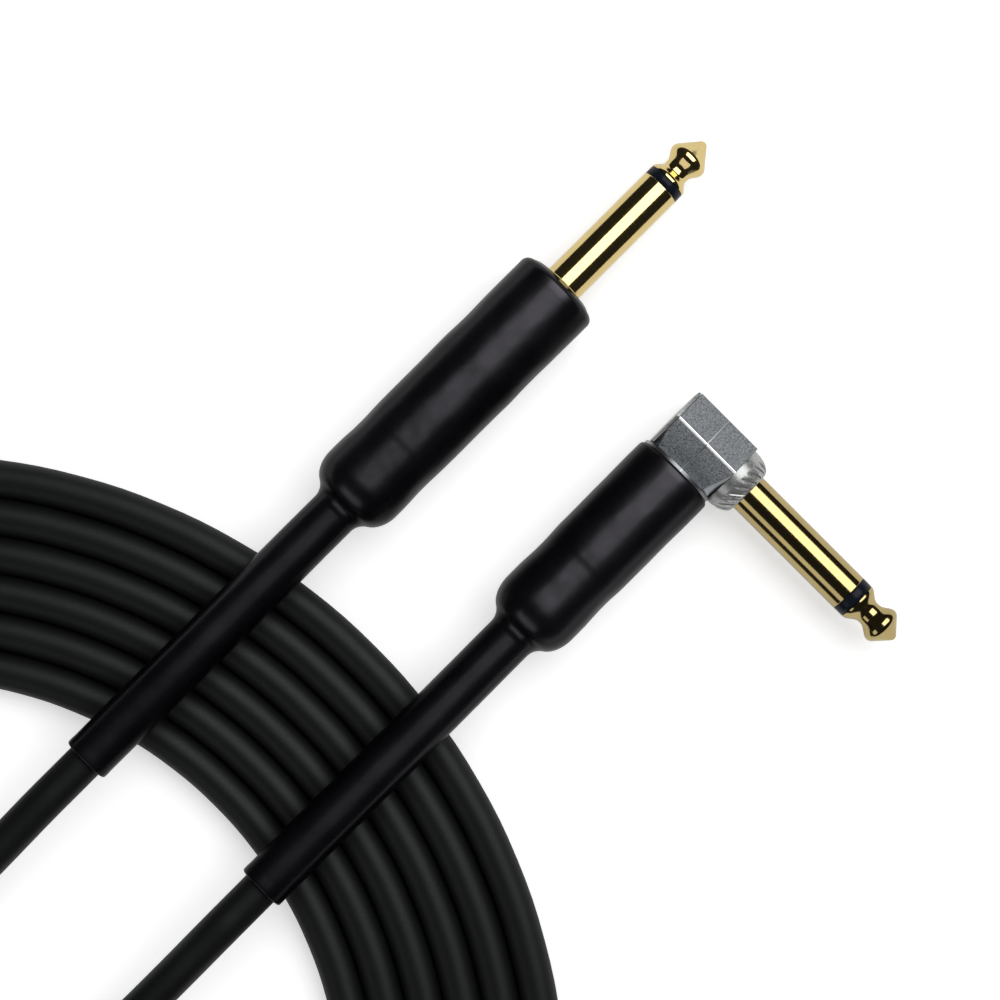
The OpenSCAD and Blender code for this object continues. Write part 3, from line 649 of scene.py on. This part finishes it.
class CABLE_OT_cord(Operator):
    """Lays the cord from one boot, round the coil, to the other boot"""

    bl_idname = "cable.cord"
    bl_label = "Cord"

    def execute(self, context):
        settings = context.scene.instrument_cable.cord
        route = cord_route(CoilShape(settings.diameter, settings.pitch))
        curve = bpy.data.curves.new("cord", "CURVE")
        curve.dimensions = "3D"
        curve.bevel_depth = settings.diameter / 2
        curve.bevel_resolution = 12
        curve.resolution_u = 4
        curve.use_fill_caps = True
        spline = curve.splines.new("BEZIER")
        spline.bezier_points.add(len(route) - 1)
        for knot, place in zip(spline.bezier_points, route):
            knot.co = place
            knot.handle_left_type = knot.handle_right_type = "AUTO"
        curve.materials.append(cord_rubber("cord_rubber", settings.jacket_colour))
        cord = bpy.data.objects.new("cord", curve)
        context.scene.collection.objects.link(cord)
        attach(cord, "root")
        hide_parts("straight_lead", "cord_coil", "angle_lead")
        return {"FINISHED"}


# The strap's width, wall and rounded edges, and the room that it leaves round the strands, in millimetres.
STRAP_WIDTH = 12
STRAP_WALL = 1.1
STRAP_EDGE = 0.3
STRAP_ROOM = 0.35


class CABLE_OT_strap(Operator):
    """Wraps the strap round the gathered turns of the coil"""

    bl_idname = "cable.strap"
    bl_label = "Strap"

    def execute(self, context):
        settings = context.scene.instrument_cable.cord
        shape = CoilShape(settings.diameter, settings.pitch)
        base = shape.inner_turn(shape.strap_at)
        out = facing(shape.strap_at)
        spots = []
        for turn in range(-1, 5):
            spot = shape.point(turn * 360 + shape.strap_at)
            beyond = (spot.xy - base).dot(out)
            for k in range(48):
                reach = facing(7.5 * k) * (shape.radius + STRAP_ROOM)
                spots.append((beyond + reach.x, spot.z + reach.y))
        bm = bmesh.new()
        ring = [bm.verts.new((spots[k][0], -STRAP_WIDTH / 2, spots[k][1])) for k in convex_hull_2d(spots)]
        edges = [bm.edges.new(pair) for pair in zip(ring, ring[1:] + ring[:1])]
        parts = 6
        for _ in range(parts):
            made = bmesh.ops.extrude_edge_only(bm, edges=edges)["geom"]
            verts = [part for part in made if isinstance(part, bmesh.types.BMVert)]
            edges = [part for part in made if isinstance(part, bmesh.types.BMEdge)]
            edges = [edge for edge in edges if set(edge.verts) <= set(verts)]
            bmesh.ops.translate(bm, verts=verts, vec=(0, STRAP_WIDTH / parts, 0))
        place = (
            Matrix.Translation((base.x * MM, base.y * MM, 0))
            @ Matrix.Rotation(math.radians(shape.strap_at), 4, "Z")
            @ Matrix.Scale(MM, 4)
        )
        fabric = strap_fabric("strap_fabric", settings.strap_colour)
        strap = piece_from(bm, "strap", place, fabric, ["tie_strap"], crease=60)
        band = strap.modifiers.new("band", "SOLIDIFY")
        band.thickness = STRAP_WALL * MM
        band.offset = 1
        edge = strap.modifiers.new("edge", "BEVEL")
        edge.width = STRAP_EDGE * MM
        edge.segments = 3
        edge.limit_method = "ANGLE"
        edge.angle_limit = math.radians(60)
        return {"FINISHED"}


# ---- Fingers ----


class TipShape(NamedTuple):
    """The end contact in millimetres: a groove, a ball and a cone with a blunt point."""

    length: float
    groove_in: float
    groove_out: float
    groove_radius: float
    ball_radius: float
    ball_bend: float
    cone_angle: float
    point_radius: float


STRAIGHT_TIP = TipShape(8.3, 1.7, 2.2, 2.13, 3.15, 1.4, 39.7, 0.8)
ANGLE_TIP = TipShape(8.2, 2.35, 2.3, 1.98, 3.05, 1.1, 47.2, 0.85)


def finger_radius(settings):
    """The radius of both fingers in millimetres."""
    return settings.diameter / MM / 2


def sleeve_wall(end, radius):
    """A sleeve's even wall and its front face, with the edge between them rounded."""
    wall = [(x, radius) for x in (4, 8, 12, 16, end - 0.14)]
    return wall + bend(end - 0.12, radius - 0.12, 0.12, 90, 0, 4) + [(end, SLEEVE_BORE)]


def finger_tip(name, place, start, rod_back, shape, settings, material, node_name):
    """Turns an end contact on its thin rod."""
    radius = finger_radius(settings)
    profile = [(-rod_back, 0.0), (-rod_back, ROD_RADIUS - 0.1), (-rod_back + 0.1, ROD_RADIUS)]
    profile += [(start, ROD_RADIUS), (start, radius - 0.1), (start + 0.06, radius - 0.01)]
    narrow = start + 0.15 + shape.groove_in
    ball = narrow + 0.4 + shape.groove_out
    profile += half_wave(start + 0.15, shape.groove_in, radius - 0.01, shape.groove_radius)
    profile += half_wave(narrow + 0.4, shape.groove_out, shape.groove_radius, shape.ball_radius)
    profile += bend(ball, shape.ball_radius - shape.ball_bend, shape.ball_bend, 90, 90 - shape.cone_angle)[1:]
    point = start + shape.length - shape.point_radius
    profile += bend(point, 0, shape.point_radius, 90 - shape.cone_angle, 0)
    piece_from(turned(profile, settings.steps, False), name, place, material, [node_name], 50)


def finger_ring(name, place, sleeve, width, back, settings, node_name):
    """The black ring between the two contacts, with its tube inside the sleeve."""
    radius = finger_radius(settings) - 0.02
    front = sleeve + width - 0.01
    profile = [(-back, ROD_BORE), (-back, INSULATOR_RADIUS), (sleeve + 0.01, INSULATOR_RADIUS)]
    profile += [(sleeve + 0.01, radius - 0.08), (sleeve + 0.09, radius), (front - 0.08, radius)]
    profile += [(front, radius - 0.08), (front, ROD_BORE)]
    material = moulded_ring(name, settings.ring_colour)
    piece_from(turned(profile, settings.steps), name, place, material, [node_name], 50)


# Painted light: the same gold plate is painted lighter on the straight finger and darker on the angle finger,
# as shares of the settings' gold, for how each finger is lit.
STRAIGHT_GOLD_PAINTED_LIGHT = 1.22
ANGLE_GOLD_PAINTED_SHADE = 0.79


class CABLE_OT_straight_finger(Operator):
    """Turns the straight plug's finger: sleeve, ring and end contact"""

    bl_idname = "cable.straight_finger"
    bl_label = "Straight finger"

    def execute(self, context):
        settings = context.scene.instrument_cable.finger
        # The straight finger's gold, painted lighter.
        colour = shade(settings.gold_colour, STRAIGHT_GOLD_PAINTED_LIGHT)
        gold = gold_plate("gold_straight", colour, (0, math.radians(-STRAIGHT_DIP), 0))
        radius = finger_radius(settings)
        end = STRAIGHT_SLEEVE
        back, bushing, flange, land = 9, 4.9, 6.4, 3.42
        profile = [(-back, SLEEVE_BORE), (-back, bushing - 0.3), (-back + 0.3, bushing), (-2.7, bushing)]
        profile += [(-2.7, flange), (-1.3, flange), (-0.7, flange - 0.6), (-0.7, land), (0.1, land)]
        profile += [(0.15, land - 0.05), (0.17, 3.24), (0.24, radius)] + sleeve_wall(end, radius)
        bm = turned(profile, settings.steps)
        piece_from(bm, "straight_finger_sleeve", STRAIGHT, gold, ["straight_sleeve"])
        front = end + STRAIGHT_RING
        rod = 11.35
        finger_tip("straight_finger_tip", STRAIGHT, front, rod, STRAIGHT_TIP, settings, gold, "straight_tip")
        insulator = "straight_tip_insulator"
        finger_ring("straight_finger_ring", STRAIGHT, end, STRAIGHT_RING, back, settings, insulator)
        return {"FINISHED"}


class CABLE_OT_angle_finger(Operator):
    """Turns the angle plug's finger: sleeve, ring and end contact"""

    bl_idname = "cable.angle_finger"
    bl_label = "Angle finger"

    def execute(self, context):
        settings = context.scene.instrument_cable.finger
        # The angle finger's gold, painted darker.
        gold = gold_plate("gold_angle", shade(settings.gold_colour, ANGLE_GOLD_PAINTED_SHADE), (0, 0, math.pi / 2))
        radius = finger_radius(settings)
        end = ANGLE_SLEEVE
        back, flange, spigot = 6.7, 4.15, 3.6
        profile = [(-back, SLEEVE_BORE), (-back, flange), (-5.5, flange), (-5.5, spigot), (-0.1, spigot)]
        profile += [(-0.02, spigot - 0.08), (-0.02, radius), (0.1, radius)] + sleeve_wall(end, radius)
        bm = turned(profile, settings.steps)
        piece_from(bm, "angle_finger_sleeve", ANGLE_FINGER, gold, ["angle_sleeve"])
        front = end + ANGLE_RING
        rod = 9.7
        finger_tip("angle_finger_tip", ANGLE_FINGER, front, rod, ANGLE_TIP, settings, gold, "angle_tip")
        finger_ring("angle_finger_ring", ANGLE_FINGER, end, ANGLE_RING, back, settings, "angle_tip_insulator")
        return {"FINISHED"}


# ---- Head ----


def softened_copy(node_name, name, material, width, segments, limit):
    """A copy of a CAD node with its flats joined up and its edges rounded."""
    bm = bmesh.new()
    bm.from_mesh(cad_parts[node_name].data)
    bmesh.ops.remove_doubles(bm, verts=bm.verts, dist=2e-6)
    bmesh.ops.dissolve_limit(bm, angle_limit=math.radians(1.5), verts=bm.verts, edges=bm.edges)
    mesh = bpy.data.meshes.new(name)
    bm.to_mesh(mesh)
    bm.free()
    mesh.shade_smooth()
    mesh.set_sharp_from_angle(angle=math.radians(limit))
    mesh.materials.append(material)
    piece = bpy.data.objects.new(name, mesh)
    bpy.context.scene.collection.objects.link(piece)
    round_off = piece.modifiers.new("rounding", "BEVEL")
    round_off.width = width
    round_off.segments = segments
    round_off.limit_method = "ANGLE"
    round_off.angle_limit = math.radians(limit)
    round_off.harden_normals = True
    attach(piece, "root")
    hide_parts(node_name)
    return piece


class CABLE_OT_head(Operator):
    """Finishes the angle plug's cast head, its back cap and its fluted collar"""

    bl_idname = "cable.head"
    bl_label = "Cast head"

    def execute(self, context):
        settings = context.scene.instrument_cable.head
        cast = cast_nickel("cast_nickel", settings.cast_colour)
        bright = polished_nickel("polished_nickel", settings.collar_colour)
        edge = settings.edge_round
        softened_copy("angle_head", "head_casting", cast, edge, 3, 20)
        softened_copy("angle_back_cap", "head_back_cap", bright, edge / 3, 2, 20)
        softened_copy("angle_collar", "fluted_collar", bright, edge / 4, 2, 25)
        return {"FINISHED"}


# ---- Boots ----


# Flats round a boot, and radii between the walls and the bores of its wide part and of its tube.
BOOT_STEPS = 144
WIDE_OUTSIDE = 6.5
TUBE_OUTSIDE = 3.3


class BootShape(NamedTuple):
    """A boot in millimetres, with x from its front.

    The marks and the crown are (distance from the shoulder's root, radius) pairs for the wide part. The front
    and the bore are stretches of the profile that is turned.
    """

    grip: float
    rear: float
    neck: float
    marks: tuple
    crown: tuple
    front: list
    bore: list


def boot_piece(name, place, shape, settings, node_name):
    """Shrink tubing over a shell and down onto the cord: a round shoulder, then the marks' radii.

    The flanks take the marks' radii and the top takes the crown's, which is evener.
    """
    grip, rear, neck = shape.grip, shape.rear, shape.neck
    marks, wide_end = shape.marks, shape.marks[-1][0]
    profile = [(rear + 0.12, CORD_BORE + 0.07), (rear, 3.2), (rear, 3.56)]
    profile += bend(rear + 0.3, TUBE_RADIUS - 0.3, 0.3, 180, 90, 6) + [(rear + 0.9, TUBE_RADIUS + 0.02)]
    profile += [(rear + 1.6, TUBE_RADIUS - 0.02), (rear + 3, TUBE_RADIUS - 0.02)]
    x = rear + 6
    while x < -grip - 4:
        profile.append((x, TUBE_RADIUS))
        x += 3
    rise = marks[0][1] - TUBE_RADIUS
    first, parts = 23, 14
    shoulder = []
    for k in range(parts + 1):
        a = math.radians(first + (90 - first) * k / parts)
        shoulder.append((neck * (1 - math.cos(a)) - grip, TUBE_RADIUS + rise * math.sin(a)))
    lean = math.atan(neck / rise * math.tan(math.radians(first)))
    hollow = rise * math.sin(math.radians(first)) / (1 - math.sin(lean))
    middle = shoulder[0][0] - hollow * math.cos(lean)
    profile += bend(middle, TUBE_RADIUS + hollow, hollow, -90, -math.degrees(lean), 10)[:-1] + shoulder
    x = neck + 0.3
    while x < wide_end:
        profile.append((x - grip, eased(marks, x)))
        x += 0.3
    bm = turned(profile + shape.front + shape.bore, BOOT_STEPS)
    for vert in bm.verts:
        out = Vector((0, vert.co.y, vert.co.z))
        along = vert.co.x + grip
        if out.length > WIDE_OUTSIDE and neck < along < wide_end:
            share = smooth((vert.co.z / out.length - 0.25) / 0.5)
            vert.co += out.normalized() * share * (eased(shape.crown, along) - eased(marks, along))
        if out.length > TUBE_OUTSIDE:
            wave = noise.fractal(Vector((vert.co.x * 0.16, vert.co.y * 0.3, vert.co.z * 0.3)), 1.0, 2.0, 3)
            vert.co += out.normalized() * wave * settings.unevenness / MM
    material = shrink_tubing(name, settings.colour)
    piece_from(bm, name, place, material, [node_name], 55)


class CABLE_OT_boots(Operator):
    """Shrinks the two boots over the plugs' shells and the cord"""

    bl_idname = "cable.boots"
    bl_label = "Boots"

    def execute(self, context):
        settings = context.scene.instrument_cable.boot
        lip = bend(-1.75, 5.76, 1.3, 84, 14, 8)
        inner_lip = [(-0.1, 5.2), (-0.04, 4.4)] + bend(-0.12, 3.6, 0.12, 60, 180, 4)
        shell = [(-0.65, 3.48), (-0.65, 5.85), (-1.25, 6.45), (-42.5, 6.45), (-44.4, 6.1), (-45.6, 5.2)]
        straight = BootShape(
            grip=STRAIGHT_GRIP,
            rear=STRAIGHT_REAR,
            neck=4.5,
            marks=(
                (4.5, 7.02), (6, 7.02), (10.2, 6.86), (11, 6.86), (15.5, 7.0), (24, 7.0),
                (29, 7.05), (33, 6.94), (34, 6.94), (38.5, 7.03), (44.6, 7.03),
            ),
            crown=((4.5, 7.02), (8, 6.98), (12, 6.98), (13.2, 7.02), (44.6, 7.03)),
            front=lip + inner_lip,
            bore=shell + [(-46.3, 3.8), (-46.4, CORD_BORE), (STRAIGHT_REAR + 0.3, CORD_BORE)],
        )
        boot_piece("straight_boot_skin", STRAIGHT, straight, settings, "straight_boot")
        lip = bend(-0.6, 6.3, 0.55, 84, 10, 6) + [(-0.02, 6.24)]
        shell = [(-0.1, 6.2), (-28.9, 6.2), (-31, 5.8), (-32.2, 4.9), (-32.9, 3.8)]
        angle = BootShape(
            grip=ANGLE_GRIP,
            rear=ANGLE_REAR,
            neck=4.7,
            marks=(
                (4.7, 6.82), (7, 6.82), (11, 6.66), (12, 6.66),
                (16, 6.82), (25, 6.84), (29, 6.88), (32.4, 6.87),
            ),
            crown=((4.7, 6.82), (8, 6.78), (13.2, 6.78), (14.4, 6.83), (32.4, 6.87)),
            front=lip,
            bore=shell + [(-33, CORD_BORE), (ANGLE_REAR + 0.3, CORD_BORE)],
        )
        boot_piece("angle_boot_skin", ANGLE, angle, settings, "angle_boot")
        return {"FINISHED"}


# ---- Inner pieces ----


class CABLE_OT_inner_pieces(Operator):
    """Gives the pieces inside the boots their finishes"""

    bl_idname = "cable.inner_pieces"
    bl_label = "Inner pieces"

    def execute(self, context):
        finishes = {
            "shell_nickel": (("barrel",), (0.70, 0.69, 0.66), 0.2, 1.0, 0.06),
            "tinned_lug": (("ground_clamp", "tip_lug", "ground_lug"), (0.74, 0.73, 0.70), 0.3, 1.0, 0.1),
            "hard_paper": (("rear_washer",), (0.30, 0.15, 0.06), 0.75, 0.0, 0.3),
            "liner_film": (("liner",), (0.80, 0.80, 0.78), 0.3, 0.0, 0.05),
            "inner_jacket": (("jacket",), (0.021, 0.021, 0.022), 0.5, 0.0, 0.2),
            "copper_shield": (("shield", "conductor"), (0.85, 0.45, 0.27), 0.25, 1.0, 0.5),
            "core_plastic": (("core",), (0.82, 0.80, 0.74), 0.45, 0.0, 0.08),
            "solder_joint": (("tip_solder", "ground_solder"), (0.70, 0.71, 0.74), 0.22, 1.0, 0.3),
        }
        for name, (kinds, colour, roughness, metallic, strength) in finishes.items():
            finish = Finish(name, colour, roughness, metallic)
            fine = finish.grain(3200, 4)
            finish.tint(fine, shade(colour, 0.8), shade(colour, 1.12))
            finish.gloss(fine, roughness * 0.8, roughness * 1.3)
            finish.relief((fine, strength, 4e-5))
            for node_name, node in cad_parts.items():
                kind = node_name.split("_", 1)[1]
                if kind in kinds:
                    node.data.materials.clear()
                    node.data.materials.append(finish.material)
        return {"FINISHED"}


# ---- Stage ----


# The middle of the view, and the height of the plugs, in metres.
VIEW_X = 0.0056
VIEW_Y = 0.01685
PLUG_HEIGHT = 0.007

# How far the floor glows for the camera, for a gloss and for a clear piece.
FLOOR_GLOW = (("Is Camera Ray", 0.48), ("Is Glossy Ray", 0.12), ("Is Transmission Ray", 0.48))

# The room's strength as a light, and as glossy surfaces mirror it.
ROOM_LIGHT = 0.35
ROOM_MIRRORED = 0.018

# Each lamp's name, place and size in metres, and power in watts.
LAMPS = (
    ("front_light", (0.379, 0.0, 0.589), (0.72, 0.59), 3.6),
    ("back_light", (-0.587, 0.0, 0.381), (0.70, 0.32), 0.6),
)


class CABLE_OT_stage(Operator):
    """Sets up the camera, the pale floor and the studio light"""

    bl_idname = "cable.stage"
    bl_label = "Stage"

    def execute(self, context):
        settings = context.scene.instrument_cable.stage
        self.add_camera(context, settings)
        self.add_floor(context, settings)
        self.add_lights(context)
        context.scene.view_settings.view_transform = "Standard"
        return {"FINISHED"}

    def add_camera(self, context, settings):
        """Looks straight down on the plugs, turned so that they point to the upper right."""
        data = bpy.data.cameras.new("camera")
        data.lens = data.sensor_width * settings.camera_height / settings.view_width
        data.clip_start = 0.01
        camera = bpy.data.objects.new("camera", data)
        camera.location = (VIEW_X, VIEW_Y, settings.camera_height + PLUG_HEIGHT)
        camera.rotation_euler = (0, 0, math.radians(-45))
        context.scene.collection.objects.link(camera)
        context.scene.camera = camera

    def add_floor(self, context, settings):
        """Lays a pale floor that keeps the cable's shadow."""
        bm = bmesh.new()
        bmesh.ops.create_grid(bm, x_segments=1, y_segments=1, size=settings.floor_size / 2)
        mesh = bpy.data.meshes.new("floor")
        bm.to_mesh(mesh)
        bm.free()
        floor = bpy.data.objects.new("floor", mesh)
        context.scene.collection.objects.link(floor)
        material = bpy.data.materials.new("pale_floor")
        material.use_nodes = True
        tree = material.node_tree
        nodes, links = tree.nodes, tree.links
        surface = nodes["Principled BSDF"]
        surface.inputs["Base Color"].default_value = (0.8, 0.8, 0.8, 1)
        surface.inputs["Roughness"].default_value = 0.9
        surface.inputs["Specular IOR Level"].default_value = 0.0
        glow = nodes.new("ShaderNodeEmission")
        links.new(self.seen_glow(tree), glow.inputs["Strength"])
        both = nodes.new("ShaderNodeAddShader")
        links.new(surface.outputs[0], both.inputs[0])
        links.new(glow.outputs[0], both.inputs[1])
        links.new(both.outputs[0], nodes["Material Output"].inputs["Surface"])
        mesh.materials.append(material)

    @staticmethod
    def seen_glow(tree):
        """The floor's glow, as a sum over the kinds of ray that see it."""
        path = tree.nodes.new("ShaderNodeLightPath")
        total = 0.0
        for kind, share in FLOOR_GLOW:
            added = tree.nodes.new("ShaderNodeMath")
            added.operation = "MULTIPLY_ADD"
            tree.links.new(path.outputs[kind], added.inputs[0])
            added.inputs[1].default_value = share
            if isinstance(total, bpy.types.NodeSocket):
                tree.links.new(total, added.inputs[2])
            else:
                added.inputs[2].default_value = total
            total = added.outputs[0]
        return total

    def add_lights(self, context):
        """Lights the room evenly, with a soft lamp in front of the plugs and a weaker one behind."""
        world = bpy.data.worlds.new("studio")
        context.scene.world = world
        world.use_nodes = True
        tree = world.node_tree
        room = tree.nodes["Background"]
        path = tree.nodes.new("ShaderNodeLightPath")
        strength = tree.nodes.new("ShaderNodeMapRange")
        tree.links.new(path.outputs["Is Glossy Ray"], strength.inputs["Value"])
        strength.inputs["To Min"].default_value = ROOM_LIGHT
        strength.inputs["To Max"].default_value = ROOM_MIRRORED
        tree.links.new(strength.outputs[0], room.inputs["Strength"])
        room.inputs["Color"].default_value = (1, 1, 1, 1)
        for name, place, size, power in LAMPS:
            data = bpy.data.lights.new(name, "AREA")
            data.shape = "RECTANGLE"
            data.size, data.size_y = size
            data.energy = power
            lamp = bpy.data.objects.new(name, data)
            lamp.location = place
            lamp.rotation_euler = (-Vector(place)).to_track_quat("-Z", "Y").to_euler()
            context.scene.collection.objects.link(lamp)


class CABLE_PT_panel(Panel):
    """Lists the settings and the pieces in the sidebar"""

    bl_label = "Instrument Cable"
    bl_idname = "CABLE_PT_panel"
    bl_space_type = "VIEW_3D"
    bl_region_type = "UI"
    bl_category = "Cable"

    def draw(self, context):
        settings = context.scene.instrument_cable
        for part in ("cord", "finger", "head", "boot", "stage"):
            box = self.layout.box()
            box.label(text=part.capitalize())
            group = getattr(settings, part)
            for prop in group.bl_rna.properties:
                if prop.identifier not in {"rna_type", "name"}:
                    box.prop(group, prop.identifier)
        for operator in OPERATORS:
            self.layout.operator(operator.bl_idname)


OPERATORS = (
    CABLE_OT_stage,
    CABLE_OT_strap,
    CABLE_OT_cord,
    CABLE_OT_straight_finger,
    CABLE_OT_angle_finger,
    CABLE_OT_head,
    CABLE_OT_boots,
    CABLE_OT_inner_pieces,
)
GROUPS = (CordSettings, FingerSettings, HeadSettings, BootSettings, StageSettings, CableSettings)
CLASSES = GROUPS + OPERATORS + (CABLE_PT_panel,)


def register():
    for cls in CLASSES:
        bpy.utils.register_class(cls)
    bpy.types.Scene.instrument_cable = PointerProperty(type=CableSettings)


def unregister():
    del bpy.types.Scene.instrument_cable
    for cls in reversed(CLASSES):
        bpy.utils.unregister_class(cls)


def main():
    register()
    for operator in OPERATORS:
        group, name = operator.bl_idname.split(".")
        getattr(getattr(bpy.ops, group), name)()


if __name__ == "__main__":
    main()
